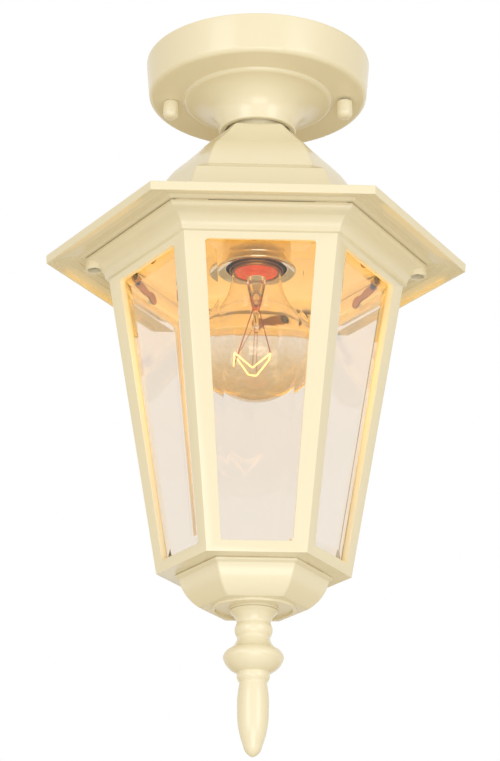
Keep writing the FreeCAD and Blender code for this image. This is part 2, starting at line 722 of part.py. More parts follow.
def make_clips():
    """Brass strips that turn on a screw and lap over the top edge of each pane."""
    screw = turned("clip_screw_master", [
        ("0", "-1.9"), ("1.2", "-1.7"), ("clip_screw_radius + 1.3", "-0.6"),
        ("clip_screw_radius + 1.3", "0"), ("clip_screw_radius", "0"),
        ("clip_screw_radius", "clip_screw_length"), ("0", "clip_screw_length")])
    del SUBPARTS["clip_screw_master"]
    places = []
    for count, side in enumerate(SIDES):
        sign = CLIP_SIDE[side]
        body = new_body("clip_" + side)
        strip = new_sketch(body, "XY_Plane")
        half, waist, end = "clip_width / 2", "clip_waist / 2", "clip_end_radius"
        reach = f"(-{sign} * clip_length)"
        outline(strip, [
            ("0", f"-{half}"), ("0", half, sign * 1.0),
            (f"0.45 * {reach}", half), (f"0.62 * {reach}", waist), (f"0.72 * {reach}", waist),
            (f"0.82 * {reach}", f"0.85 * {end}"), (f"0.82 * {reach}", f"-0.85 * {end}", sign * 1.6),
            (f"0.72 * {reach}", f"-{waist}"), (f"0.62 * {reach}", f"-{waist}"),
            (f"0.45 * {reach}", f"-{half}")])
        disc(strip, "clip_screw_radius + thread_play")
        pad(body, strip, "clip_thickness")
        depth = size("post_depth + clip_gap")
        place = turned_side(count).multiply(on_face(
            depth, size("clip_drop") - size(RAIL_RISE), sign * size("clip_pivot"), sign * size("clip_turn")))
        body.Placement = place
        flip = Placement(Vector(0, 0, size("clip_thickness") + 0.1), Rotation(Vector(1, 0, 0), 180))
        places.append(place.multiply(flip))
    group("clip_screws", screw, places)


# ---------------------------------------------------------------- pan and finial

def make_pan():
    """The six-sided bowl under the cage, with a ring on its foot for the finial."""
    body = new_body("bottom_pan")
    mitred_side(body, [
        ("pan_flat - 1.0", PAN_TOP_Z),
        ("pan_flat - 0.9", f"{PAN_TOP_Z} - pan_bead", -0.8),
        ("pan_flat - 2.1", f"{PAN_TOP_Z} - pan_bead - 0.7"),
        ("pan_foot_flat", PAN_FOOT_Z, -0.2),
        ("0", PAN_FOOT_Z),
        ("0", f"{PAN_FOOT_Z} + pan_wall"),
        ("pan_foot_flat - 1.4", f"{PAN_FOOT_Z} + pan_wall"),
        ("pan_flat - 1.8 - pan_wall", f"{PAN_TOP_Z} - pan_bead - 0.7", 0.2),
        ("pan_flat - 1.8 - pan_wall", PAN_TOP_Z),
    ])
    polar(body, 6, whole_shape=True)
    ring = new_sketch(body, "XY_Plane", f"{PAN_FOOT_Z} - pan_ring_height")
    disc(ring, "pan_ring_radius")
    disc(ring, "pan_ring_radius - pan_ring_width")
    pad(body, ring, "pan_ring_height + 0.5")
    post = new_sketch(body, "XY_Plane", f"{PAN_FOOT_Z} - pan_ring_height")
    disc(post, "finial_flange + 0.4")
    pad(body, post, "pan_ring_height + 0.5")
    bore = new_sketch(body, "XY_Plane", PAN_FOOT_Z)
    disc(bore, "finial_stud_radius + hole_play")
    pocket(body, bore, "6 * pan_wall", midplane=True)


def make_finial():
    """The turned drop below the pan, with the stud, nut and washer that hold both to the cage."""
    top = FINIAL_TOP_Z

    def down(distance):
        return f"({top} - {distance} / 77.7 * finial_length)"

    def across(radius):
        return f"({radius} / 12.9 * finial_flange)"

    bore = "(finial_stud_radius + thread_play)"
    turned("finial", [
        (bore, top), ("finial_flange", top), ("finial_flange", down(0.8)),
        (across(8.8), down(7.1), 0.2), (across(9.2), down(7.5)), (across(9.1), down(13.6), -0.3),
        (across(8.6), down(14.6), 0.2), (across(12.2), down(20.6), 0.2), (across(16.1), down(25.4), -0.3),
        (across(8.3), down(33.4), -0.26), (across(8.0), down(37.4), -0.3), (across(7.2), down(38.6)),
        (across(8.3), down(53.4), -0.07), (across(5.0), down(71.8), -0.1), ("0", down(77.7), -0.3),
        ("0", f"{top} - finial_thread_depth - 1.5"), (bore, f"{top} - finial_thread_depth")])
    high = f"({FLOOR_TOP_Z} + washer_thickness + finial_nut_height + 2)"
    low = f"({top} - finial_thread_depth + 2)"
    turned("finial_stud", [("0", high), ("finial_stud_radius - 0.5", high),
                           ("finial_stud_radius", f"{high} - 0.5"), ("finial_stud_radius", low), ("0", low)])
    ring = f"({FLOOR_TOP_Z} + washer_thickness)"
    turned("finial_washer", [(bore, FLOOR_TOP_Z), ("7", FLOOR_TOP_Z), ("7", ring), (bore, ring)])
    hex_nut("finial_nut", "finial_nut_flats", ring, "finial_nut_height", bore)


def make_roof_screws():
    """Two screws from below that draw the cornice up against the roof."""
    seat = f"({CORNICE_TOP_Z} - 2.4)"
    tip = "(-roof_seat_z + 2.9)"
    screw = turned("roof_screw_master", [
        ("0", tip), ("roof_screw_radius", tip), ("roof_screw_radius", seat), ("roof_screw_head", seat),
        ("roof_screw_head", f"{seat} - 1.4"), ("1.6", f"{seat} - 2.2"), ("1.6", f"{seat} - 1.2"),
        ("0", f"{seat} - 1.2")])
    del SUBPARTS["roof_screw_master"]
    reach = size("roof_screw_reach")
    group("roof_screws", screw, [Placement(Vector(side * reach, 0, 0), Rotation()) for side in (-1, 1)])


# ---------------------------------------------------------------- lampholder

def make_lampholder():
    """A metal-clad screw lampholder: domed cap, polished skirt, porcelain core and brass shell."""
    top = "(-holder_top_z)"
    split = "(-holder_split_z)"
    mouth = "(-holder_mouth_z)"
    outer, wall = "holder_radius", "holder_wall"
    bore = "(nipple_radius + thread_play)"
    turned("holder_cap", [
        (bore, top), ("holder_boss_radius", top), ("holder_boss_radius", f"{top} - 7"),
        (outer, f"{top} - 16", -0.3), (outer, split), (f"{outer} - {wall}", split),
        (f"{outer} - {wall}", f"{top} - 16"), (f"holder_boss_radius - {wall}", f"{top} - 8", 0.3),
        (bore, f"{top} - 8")])
    turned("holder_skirt", [
        (f"{outer} - {wall} - 0.1", f"{split} - 0.2"), (f"{outer}", f"{split} - 0.2"),
        (outer, f"{mouth} + 12"), ("holder_rim_radius", f"{mouth} + 0.8", 0.15),
        ("holder_rim_radius - 0.8", mouth), ("holder_mouth_radius + 0.8", f"{mouth} + 0.9"),
        ("holder_mouth_radius", f"{mouth} + 1.7"), ("holder_mouth_radius", f"{mouth} + 6"),
        ("holder_mouth_radius + 0.8", f"{mouth} + 6"), ("holder_mouth_radius + 0.8", f"{mouth} + 2.4"),
        ("holder_rim_radius - 1.6", f"{mouth} + 1.9"), (f"{outer} - {wall} - 0.1", f"{mouth} + 12", -0.15)])
    core_outer = f"({outer} - {wall} - 0.4)"
    body = turned("holder_core", [
        ("0", "-core_top_z"), (core_outer, "-core_top_z"), (core_outer, "-core_bottom_z"),
        ("shell_radius + shell_wall + thread_play", "-core_bottom_z"),
        ("shell_radius + shell_wall + thread_play", "-core_bottom_z + 2"), ("6", "-core_bottom_z + 2"), ("6", "-core_bottom_z + 6"), ("0", "-core_bottom_z + 6")])
    pits = new_sketch(body, "XY_Plane", "-core_top_z")
    for side in (-1, 1):
        middle = f"{side} * terminal_reach"
        rectangle(pits, f"{middle} - 3", f"{middle} + 3", "-6", "6")
    pocket(body, pits, "4")
    turned("screw_shell", [
        ("6.5", "-core_bottom_z + 2"), ("shell_radius + shell_wall", "-core_bottom_z + 2"),
        ("shell_radius + shell_wall", "-shell_collar_z + 0.9"), ("shell_collar_radius", "-shell_collar_z"),
        ("shell_collar_radius", f"{mouth} + 0.2"), ("shell_collar_radius - shell_wall", f"{mouth} + 0.2"),
        ("shell_collar_radius - shell_wall", "-shell_collar_z"), ("shell_radius", "-shell_collar_z + 0.9"),
        ("shell_radius", "-core_bottom_z + 1.5"), ("6.5", "-core_bottom_z + 1.5")])
    contact = new_body("centre_contact")
    strip = new_sketch(contact, "XZ_Plane")
    high = "(-core_bottom_z + 6)"
    low = "(-bulb_neck_z + cap_length + 3.1 + seat_play + 0.2)"
    outline(strip, [("-5", high), ("-5", f"{high} - 0.5"), ("2.5", low, 0.1), ("4.5", f"{low} + 0.35", 0.3),
                    ("2.5", f"{low} + 0.5", 0.3), ("-4", f"{high} - 0.5", -0.1), ("5", f"{high} - 0.5"), ("5", high)])
    pad(contact, strip, "5", midplane=True)
    screw = turned("holder_screw_master", [
        ("0", "1.6"), ("2.6", "1.6"), ("2.6", "0"), ("1.5", "0"), ("1.5", "-2.0"), ("0", "-2.0")])
    del SUBPARTS["holder_screw_master"]
    floor = size("-core_top_z - 4")
    group("holder_terminals", screw,
          [Placement(Vector(side * size("terminal_reach"), 0, floor + 2.0), Rotation()) for side in (-1, 1)])


# ---------------------------------------------------------------- bulb

def make_bulb():
    """A clear pear-shaped lamp: glass, screw cap, insulator, contact, stem and filament."""
    centre = "(-bulb_centre_z)"
    neck = "(-bulb_neck_z)"
    rise = 0.62
    tangent_across, tangent_up = math.sqrt(1 - rise * rise), rise
    globe_turn = math.asin(rise)

    def pear(shrink):
        """The outline's points from the neck to the bottom, with the wall taken off."""
        radius = f"(bulb_radius - {shrink})"
        return [(f"bulb_neck_radius - 0.6 - {shrink}", neck),
                (f"bulb_neck_radius - {shrink}", f"{neck} - 4"),
                (f"{radius} * {tangent_across}", f"{centre} + {radius} * {tangent_up}", 0.16),
                ("0", f"{centre} - {radius}", -math.tan((math.pi / 2 + globe_turn) / 4))]

    outer = pear("0")
    inner = pear("bulb_glass_wall")
    back = [(inner[3][0], inner[3][1]),
            (inner[2][0], inner[2][1], -inner[3][2]),
            (inner[1][0], inner[1][1], -inner[2][2]),
            (inner[0][0], inner[0][1])]
    turned("bulb_glass", outer + back)

    cap_top = f"({neck} + cap_length)"
    skirt = "(cap_radius + 0.65)"
    points = [("cap_radius - 0.7", f"{neck} + 0.1"), (skirt, f"{neck} + 0.1"), (skirt, f"{neck} + 6"),
              ("cap_radius - 0.4", f"{neck} + 7.5")]
    pitch = 3.6
    for turn in range(4):
        low = 7.5 + pitch * turn
        points.append(("cap_radius - 0.4", f"{neck} + {low + 0.6}"))
        points.append(("cap_radius - 0.4", f"{neck} + {low + pitch - 0.6}", 0.28))
    points += [("cap_radius - 0.4", f"{cap_top} - 1.6"), ("cap_radius - 4", cap_top),
               ("cap_radius - 4.4", f"{cap_top} - 0.4"), ("cap_radius - 0.9", f"{cap_top} - 2.0"),
               ("cap_radius - 0.9", f"{neck} + 6.5"), ("cap_radius - 0.2", f"{neck} + 5")]
    turned("bulb_cap", points)
    turned("bulb_insulator", [("0", f"{cap_top} - 1.5"), ("cap_radius - 4.9", f"{cap_top} - 0.6"),
                              ("4.6", f"{cap_top} + 1.6"), ("0", f"{cap_top} + 1.6")])
    turned("bulb_contact", [("0", f"{cap_top} + 1.6"), ("4.4", f"{cap_top} + 1.6"), ("4.4", f"{cap_top} + 2.4"),
                            ("3.0", f"{cap_top} + 3.1"), ("0", f"{cap_top} + 3.1")])
    turned("bulb_stem", [
        ("0", f"{neck} - 3"), ("5.2", f"{neck} - 3"), ("4.2", f"{neck} - 12", -0.05), ("2.6", f"{neck} - 19"),
        ("1.5", f"{neck} - 22"), ("1.5", f"{neck} - 31"), ("2.1", f"{neck} - 33", -0.3), ("0", f"{neck} - 35", -0.3)])

    level = -size("filament_z")
    arm = 11.5
    zigzag = [Vector(-arm, 0, level + 4.5), Vector(-6.5, 4, level - 5.5), Vector(-0.8, 6.0, level + 2.5),
              Vector(5.0, 4, level - 5.5), Vector(arm - 1, 0, level + 4.0)]
    filament = doc.addObject("Part::Feature", "bulb_filament")
    filament.Label = "bulb_filament"
    filament.Shape = bent_wire(zigzag, 0.35, 0.8)
    SUBPARTS["bulb_filament"] = filament
    foot = -size("bulb_neck_z") - 25
    supports = []
    for point in (zigzag[0], zigzag[-1]):
        across = math.copysign(3.0, point.x)
        path = [Vector(across, 0, foot + 6.4), Vector(across, 0, foot - 4), point + Vector(0, 0, 0.7)]
        supports.append(bent_wire(path, 0.3, 3.0))
    for point in (zigzag[1], zigzag[2], zigzag[3]):
        start = Vector(point.x, point.y, 0).normalize() * 2.35 + Vector(0, 0, foot - 8)
        supports.append(bent_wire([start, point + Vector(0, -0.9, 0)], 0.2, 1.0))
    wires = doc.addObject("Part::Feature", "bulb_support_wires")
    wires.Label = "bulb_support_wires"
    wires.Shape = Part.makeCompound(supports)
    SUBPARTS["bulb_support_wires"] = wires


def bent_wire(points, radius, bend):
    """A round wire along straight runs joined by tangent arcs."""
    edges = []
    start = points[0]
    for index in range(1, len(points) - 1):
        here = points[index]
        into = (here - points[index - 1]).normalize()
        out = (points[index + 1] - here).normalize()
        half_turn = into.getAngle(out) / 2
        tangent = bend * math.tan(half_turn)
        first, last = here - into * tangent, here + out * tangent
        inward = (out - into).normalize()
        middle = here + inward * (bend / math.cos(half_turn) - bend)
        edges.append(Part.makeLine(start, first))
        edges.append(Part.Arc(first, middle, last).toShape())
        start = last
    edges.append(Part.makeLine(start, points[-1]))
    spine = Part.Wire(edges)
    ring = Part.Wire(Part.makeCircle(radius, points[0], points[1] - points[0]))
    return spine.makePipeShell([ring], True, False)


# ---------------------------------------------------------------- wiring inside the canopy

def make_wiring():
    """A terminal block under the bar and the two leads that run down the nipple."""
    body = new_body("terminal_block")
    high = "(-bar_thickness)"
    low = f"({high} - block_height)"
    plan = new_sketch(body, "XY_Plane", low)
    rectangle(plan, "-block_length / 2", "block_length / 2", "-block_width / 2", "block_width / 2")
    pad(body, plan, "block_height")
    slots = new_sketch(body, "XY_Plane", low)
    for across in ("-block_length / 6", "block_length / 6"):
        rectangle(slots, f"{across} - 0.8", f"{across} + 0.8", "-block_width / 2 - 1", "-block_width / 2 + 4")
        rectangle(slots, f"{across} - 0.8", f"{across} + 0.8", "block_width / 2 - 4", "block_width / 2 + 1")
    pocket(body, slots, "block_height / 2", reverse=True)
    spread, lead, reach = size("lead_spread"), size("lead_radius"), size("terminal_reach")
    bottom, core = size(low), size("-core_top_z - 2")
    top = size("-nipple_top")
    for name, side in (("lead_live", -1), ("lead_neutral", 1)):
        path = [Vector(side * reach, 4, core), Vector(side * reach, 4, core + 8), Vector(side * spread, 0, core + 13.5),
                Vector(side * spread, 0, top + 2), Vector(side * 5, 0, (top + 2 + bottom) / 2 + 1),
                Vector(side * 5, 0, bottom)]
        feature = doc.addObject("Part::Feature", name)
        feature.Label = name
        feature.Shape = bent_wire(path, lead, 4.0)
        SUBPARTS[name] = feature


make_canopy()
make_mounting_bar()
make_stud_hardware()
make_nipple()
make_roof()
make_cage()
make_glass()
make_clips()
make_pan()
make_finial()
make_roof_screws()
make_lampholder()
make_bulb()
make_wiring()
doc.recompute()

# ---------------------------------------------------------------- checks and export

for item in doc.Objects:
    if "Invalid" in item.State or "Error" in item.State:
        raise RuntimeError(f"{item.Label} failed: {item.State}")
os.makedirs("parts", exist_ok=True)
for name, item in SUBPARTS.items():
    shape = item.Shape
    if shape.isNull() or not shape.isValid():
        raise RuntimeError(f"{name} has no valid shape")
    shape.exportStep(f"parts/{name}.step")
    print(f"{name:20s} solids {len(shape.Solids)}  faces {len(shape.Faces):4d}  volume {shape.Volume:10.1f}")
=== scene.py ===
import json
import math

import bmesh
import bpy
import numpy as np
from mathutils import Matrix, Vector


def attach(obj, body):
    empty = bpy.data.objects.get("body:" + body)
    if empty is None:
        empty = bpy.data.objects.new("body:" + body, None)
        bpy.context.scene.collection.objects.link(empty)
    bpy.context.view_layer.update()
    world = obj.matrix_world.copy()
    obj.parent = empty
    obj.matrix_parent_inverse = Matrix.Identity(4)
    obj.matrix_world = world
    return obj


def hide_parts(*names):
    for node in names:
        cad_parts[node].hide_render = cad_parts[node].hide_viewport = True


# A six-sided porch lantern under a ceiling, dressed for its picture.  The shapes are drawn in
# millimetres, as in the CAD, and become metres where a mesh is made.  The finishes, the room, the
# lamps and the camera are in metres.  The origin is on the ceiling, +Z is up and -Y is the front.

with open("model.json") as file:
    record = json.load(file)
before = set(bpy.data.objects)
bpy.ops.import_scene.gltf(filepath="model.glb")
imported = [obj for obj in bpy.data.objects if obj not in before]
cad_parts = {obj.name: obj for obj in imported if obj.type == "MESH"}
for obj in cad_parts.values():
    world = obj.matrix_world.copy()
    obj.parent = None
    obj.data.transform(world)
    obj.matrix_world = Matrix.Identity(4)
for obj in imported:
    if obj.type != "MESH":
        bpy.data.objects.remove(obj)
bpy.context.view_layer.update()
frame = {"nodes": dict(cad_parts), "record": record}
NODES = frame["nodes"]
SIDES = ["back", "back_left", "front_left", "front", "front_right", "back_right"]
MM = 0.001


# ---------------------------------------------------------------- lines

SAMPLE = 0.04            # spacing at which an outline is sampled before it is thinned
ARC_STEP = 0.05          # turn of each chord of an arc, in radians
NEARLY_NOTHING = 1e-9


def run(points, closed):
    """The outline as one array of complex numbers, across + i up.  An edge whose end carries a
    bulge is an arc: centre = middle + i * chord * (1 - b * b) / (4 * b), angle = 4 * atan(b)."""
    places = np.array([complex(point[0], point[1]) for point in points])
    bulges = [point[2] if len(point) > 2 else 0 for point in points]
    order = list(range(1, len(points))) + ([0] if closed else [])
    pieces = [places[:1]]
    for index in order:
        start, end, bulge = places[index - 1], places[index], bulges[index]
        if bulge:
            angle = 4 * math.atan(bulge)
            centre = (start + end) / 2 + 1j * (end - start) * (1 - bulge ** 2) / (4 * bulge)
            share = np.linspace(0, 1, max(4, int(abs(angle) / ARC_STEP)))[1:]
            pieces.append(centre + (start - centre) * np.exp(1j * angle * share))
        else:
            pieces.append(places[index:index + 1])
    return np.concatenate(pieces)


def line(points, soften=0.5, closed=True, bend=5.0, longest=3.0):
    """A smooth line through an outline.  It is sampled evenly, each point becomes the mean of its
    neighbours within the softening length, which rounds the corners, and then points are kept at
    even steps of (turning / bend angle + length / longest step)."""
    raw = run(points, closed)
    steps = np.abs(np.diff(raw))
    raw = raw[np.concatenate([[True], steps > NEARLY_NOTHING])]
    along = np.concatenate([[0], np.cumsum(np.abs(np.diff(raw)))])
    count = int(along[-1] / SAMPLE)
    even = np.interp(np.linspace(0, along[-1], count + 1), along, raw)
    reach = max(1, int(soften / SAMPLE / 2))
    for _ in range(2):
        if closed:
            padded = np.concatenate([even[-reach - 1:-1], even, even[1:reach + 1]])
        else:
            mirror = [-even[reach:0:-1].conj(), even, -even[-2:-reach - 2:-1].conj()]
            padded = np.concatenate(mirror)
        total = np.concatenate([[0], np.cumsum(padded)])
        even = (total[2 * reach + 1:] - total[:-2 * reach - 1]) / (2 * reach + 1)
    chord = np.diff(even)
    turning = np.abs(np.angle(chord[1:] / chord[:-1]))
    measure = np.abs(chord) / longest
    measure[1:] += turning / math.radians(bend)
    measure = np.concatenate([[0], np.cumsum(measure)])
    kept = np.linspace(0, measure[-1], max(4, int(measure[-1]) + 1))
    smooth = np.interp(kept, measure, even)
    return smooth[:-1] if closed else smooth


def facing_out(outline, closed):
    """The line in the order that puts the outside on its left: clockwise, by its signed area."""
    area = np.sum((outline.conj() * np.roll(outline, -1)).imag)
    return outline[::-1] if area > 0 else outline


def from_axis(points):
    """The outline's points, and whether it is a loop.  An outline with an edge on the axis is an
    open line: its points are turned round so that this edge is the one left out."""
    on_axis = [abs(point[0]) < NEARLY_NOTHING for point in points]
    for index in range(len(points)):
        if on_axis[index] and on_axis[index - 1]:
            return points[index:] + points[:index], False
    return points, True


# ---------------------------------------------------------------- surfaces

CASTING_SOFTEN = 0.6     # rounding of a six-sided casting's section
CASTING_LONGEST = 4.0    # longest step along that section
FLAT_GUARD = 0.8         # distance from a rounded corner to the point that keeps the flat flat
ACROSS_WIRES = [0.0, 0.97, 0.24]    # a direction that no plain wire runs along
ACROSS_COIL = [0.0, 1.0, 0.0]       # and one that the hot wire never runs along


def grid(places, closed):
    """Corner array and four-sided faces of a surface from a (section, round, 3) array of places.
    It is closed round the second way, and along the section too where that is a loop."""
    rows, columns = places.shape[:2]
    numbers = np.arange(rows * columns).reshape(rows, columns)
    if closed:
        numbers = np.vstack([numbers, numbers[:1]])
    ahead = np.roll(numbers, -1, axis=1)
    faces = np.stack([numbers[:-1], numbers[1:], ahead[1:], ahead[:-1]], axis=-1)
    return places.reshape(-1, 3), faces.reshape(-1, 4)


def lathe(points, soften=0.5, around=96, at=(0, 0), bend=5.0, longest=3.0):
    """A turned surface: each point (r, z) of the section becomes (r cos t, r sin t, z)."""
    points, closed = from_axis(points)
    outline = facing_out(line(points, soften, closed, bend, longest), closed)
    turn = np.exp(2j * np.pi * np.arange(around) / around)
    plan = outline.real[:, None] * turn[None, :] + complex(*at)
    places = np.stack([plan.real, plan.imag, np.repeat(outline.imag[:, None], around, 1)], axis=-1)
    return grid(places, closed)


def six_sided(points, corner=1.2):
    """A section carried round a hexagon with rounded corners.  A section point (a, z) lies at
    (a - c) / cos 30 along the corner's direction plus c along the normal, where the normal turns
    60 degrees at each corner; one more point each side of a corner keeps the flats flat."""
    points, closed = from_axis(points)
    outline = facing_out(line(points, CASTING_SOFTEN, closed, longest=CASTING_LONGEST), closed)
    flat = np.maximum(outline.real, 0)[:, None]
    radius = np.minimum(corner, 0.45 * flat)
    extra = np.minimum(FLAT_GUARD, 0.2 * flat)
    tilt = np.radians(np.linspace(-30, 30, 9))
    sides = []
    for number in range(6):
        ahead = np.exp(1j * math.radians(60 * number))
        centre = (flat - radius) / math.cos(math.pi / 6) * ahead
        bow = centre + radius * (ahead * np.exp(1j * tilt))[None, :]
        first, last = ahead * np.exp(-1j * np.pi / 6), ahead * np.exp(1j * np.pi / 6)
        sides += [bow[:, :1] - 1j * first * extra, bow, bow[:, -1:] + 1j * last * extra]
    plan = np.concatenate(sides, axis=1)
    height = np.repeat(outline.imag[:, None], plan.shape[1], 1)
    return grid(np.stack([plan.real, plan.imag, height], axis=-1), closed)


def square_to(path, beside):
    """Two directions of length one that stand square to the path and to each other at each of its
    points: ahead x beside, and that x ahead."""
    ahead = np.gradient(path, axis=0)
    ahead /= np.linalg.norm(ahead, axis=1)[:, None]
    side = np.cross(ahead, beside)
    side /= np.linalg.norm(side, axis=1)[:, None]
    return side, np.cross(side, ahead)


def tube(path, radius, sides=10):
    """A round wire: the path's points plus radius * (cos u * side + sin u * over), where side and
    over stand square to the path.  Both ends are drawn in to a point."""
    side, over = square_to(path, ACROSS_WIRES)
    turn = np.arange(sides) * 2 * np.pi / sides
    size = np.full(len(path), radius)
    size[0] = size[-1] = 0
    ring = np.cos(turn)[:, None] * side[:, None] + np.sin(turn)[:, None] * over[:, None]
    return grid(path[:, None] + size[:, None, None] * ring, False)


def rounded_path(corners, bend, step=0.15):
    """Straight runs through the corners, sampled evenly and averaged over the bend length."""
    corners = np.array(corners, float)
    along = np.concatenate([[0], np.cumsum(np.linalg.norm(np.diff(corners, axis=0), axis=1))])
    even = np.arange(0, along[-1], step)
    path = np.stack([np.interp(even, along, corners[:, axis]) for axis in range(3)], axis=1)
    reach = max(1, int(bend / step / 2))
    before, after = 2 * path[:1] - path[reach:0:-1], 2 * path[-1:] - path[-2:-reach - 2:-1]
    padded = np.concatenate([before, path, after])
    total = np.concatenate([np.zeros((1, 3)), np.cumsum(padded, axis=0)])
    return (total[2 * reach + 1:] - total[:-2 * reach - 1]) / (2 * reach + 1)


# ---------------------------------------------------------------- finishes

class Value:
    """One output of a finish's node.  Arithmetic on values adds Math nodes, in either order."""

    def __init__(self, finish, socket):
        self.finish, self.socket = finish, socket

    def math(self, operation, first, second):
        """A Math node on two items, each a value or a plain number."""
        return self.finish.node("ShaderNodeMath", {"operation": operation}, {0: first, 1: second})

    def __add__(self, other):
        return self.math("ADD", self, other)

    def __radd__(self, other):
        return self.math("ADD", other, self)

    def __sub__(self, other):
        return self.math("SUBTRACT", self, other)

    def __rsub__(self, other):
        return self.math("SUBTRACT", other, self)

    def __mul__(self, other):
        return self.math("MULTIPLY", self, other)

    def __rmul__(self, other):
        return self.math("MULTIPLY", other, self)

    def __truediv__(self, other):
        return self.math("DIVIDE", self, other)

    def __pow__(self, other):
        return self.math("POWER", self, other)

    def clamp(self):
        return self.finish.node("ShaderNodeClamp", {}, {0: self})

    def most(self, other):
        """The larger of the two."""
        return self.math("MAXIMUM", self, other)


class Finish:
    """A material and the nodes that make it."""

    def __init__(self, name):
        self.material = bpy.data.materials.new(name)
        self.material.use_nodes = True
        self.tree = self.material.node_tree
        self.tree.nodes.clear()
        self.place = self.node("ShaderNodeTexCoord", {}, {}, "Object")

    def node(self, kind, settings, sockets, out=0):
        """Adds a node of a type, sets it up, fills or links its sockets and gives one output."""
        made = self.tree.nodes.new(kind)
        for name, setting in settings.items():
            setattr(made, name, setting)
        for name, item in sockets.items():
            if isinstance(item, Value):
                self.tree.links.new(item.socket, made.inputs[name])
            elif isinstance(item, tuple) and made.inputs[name].type == "RGBA":
                made.inputs[name].default_value = (*item, 1.0)
            else:
                made.inputs[name].default_value = item
        return Value(self, made.outputs[out])

    def noise(self, scale, detail=2.0, rough=0.5):
        """A cloud on the object's own coordinates, with this many cells to the metre."""
        return self.node("ShaderNodeTexNoise", {}, {
            "Vector": self.place, "Scale": scale, "Detail": detail, "Roughness": rough}, "Fac")

    def blend(self, share, first, second):
        """The first colour where the share is 0 and the second where it is 1."""
        return self.node("ShaderNodeMix", {"data_type": "RGBA"}, {0: share, 6: first, 7: second}, 2)

    def relief(self, height, depth, strength, normal=None):
        """The surface's normal over a height map that stands for this depth in metres."""
        sockets = {"Height": height, "Distance": depth, "Strength": strength}
        if normal:
            sockets["Normal"] = normal
        return self.node("ShaderNodeBump", {}, sockets)

    def eased(self, radius):
        """The surface's normal with the edges rounded off by a radius in metres."""
        return self.node("ShaderNodeBevel", {"samples": 6}, {"Radius": radius})

    def shader(self, **sockets):
        """A Principled shader.  Its sockets are named with a low line for each space."""
        named = {name.replace("_", " "): item for name, item in sockets.items()}
        return self.node("ShaderNodeBsdfPrincipled", {}, named)

    def done(self, surface):
        """The finished material, with this shader on its surface."""
        output = self.tree.nodes.new("ShaderNodeOutputMaterial")
        self.tree.links.new(surface.socket, output.inputs["Surface"])
        return self.material


def enamel(name):
    """Cream gloss stoving enamel on a casting: an uneven film with a slight orange peel."""
    film = Finish(name)
    cloud = film.noise(22.0)
    patch = film.noise(90.0, 1.0)
    colour = film.blend(cloud, (0.865, 0.79, 0.61), (0.89, 0.825, 0.66))
    peel = film.noise(420.0, 1.0) * 0.4 + patch * 0.6
    return film.done(film.shader(Base_Color=colour, Roughness=0.24 + 0.03 * patch,
                                 Normal=film.relief(peel, 0.00002, 0.2),
                                 Coat_Weight=0.15, Coat_Roughness=0.06, IOR=1.45))


def pane_glass(name, tint):
    """Polished glass with a faint draw in its surface."""
    pane = Finish(name)
    solid = pane.shader(Base_Color=tint, Roughness=0.0, IOR=1.5, Transmission_Weight=1.0,
                        Normal=pane.relief(pane.noise(28.0, 1.0), 0.00006, 0.2))
    return pane.done(see_through(pane, solid))


def see_through(pane, solid):
    """The glass for the eye and for mirrors, and plain clearness for shadows and soft light."""
    clear = pane.node("ShaderNodeBsdfTransparent", {}, {"Color": (0.96, 0.96, 0.95)})
    shadow = pane.node("ShaderNodeLightPath", {}, {}, "Is Shadow Ray")
    spread = pane.node("ShaderNodeLightPath", {}, {}, "Is Diffuse Ray")
    return pane.node("ShaderNodeMixShader", {}, {0: shadow.most(spread), 1: solid, 2: clear})


def ground_edge(name):
    """The ground rim of a pane: pale green, matt and a little uneven."""
    rim = Finish(name)
    grain = rim.noise(600.0, 2.0)
    tone = rim.blend(grain, (0.72, 0.76, 0.42), (0.84, 0.86, 0.58))
    return rim.done(rim.shader(Base_Color=tone, Roughness=0.55, Normal=rim.relief(grain, 0.0001, 0.5)))


PAINTED_GLOW_TOP, PAINTED_GLOW_FADE = -0.166, 0.024    # height where the painted glow of the hot wire in the glass starts, and the drop over which it grows to the full
                                         # over which it grows to the full


def lamp_glass(name):
    """Blown glass with a painted amber glow of the hot wire that thickens towards the bottom, and a
    painted amber reflection at a slant.
    """
    bulb = Finish(name)
    up = bulb.node("ShaderNodeSeparateXYZ", {}, {0: bulb.place}, 2)
    fleck = bulb.noise(420.0, 3.0, 0.6)
    # painted glow: amber put into the glass colour towards the bottom, standing in for the hot wire's
    # light
    low = ((PAINTED_GLOW_TOP - up) / PAINTED_GLOW_FADE).clamp()
    # painted reflection: a darker amber at a slant, standing in for the golden inside mirrored in the
    # glass
    painted_reflection_share = bulb.node("ShaderNodeLayerWeight", {}, {"Blend": 0.5}, "Facing") ** 5.0
    painted_glow = bulb.blend(low * (0.55 + 0.9 * (fleck - 0.35)), (1.0, 0.98, 0.95), (0.85, 0.66, 0.33))
    tint = bulb.blend(painted_reflection_share.clamp(), painted_glow, (0.72, 0.46, 0.16))
    solid = bulb.shader(Base_Color=tint, Roughness=0.0, IOR=1.5, Transmission_Weight=1.0,
                        Normal=bulb.relief(bulb.noise(60.0, 1.0), 0.0001, 0.25))
    return bulb.done(see_through(bulb, solid))


def cement(name):
    """Fired cement in the neck, its red colour and faint glow painted in as the hot wire's light."""
    paste = Finish(name)
    grain = paste.noise(300.0, 3.0, 0.6)
    tone = paste.blend(grain, (0.20, 0.012, 0.001), (0.45, 0.06, 0.004))
    # painted glow: the red tone is also given off as light, though the cement is no lamp
    return paste.done(paste.shader(Base_Color=tone, Roughness=0.35 + 0.2 * grain, Emission_Color=tone,
                                   Emission_Strength=0.2, Normal=paste.relief(grain, 0.0003, 0.5)))


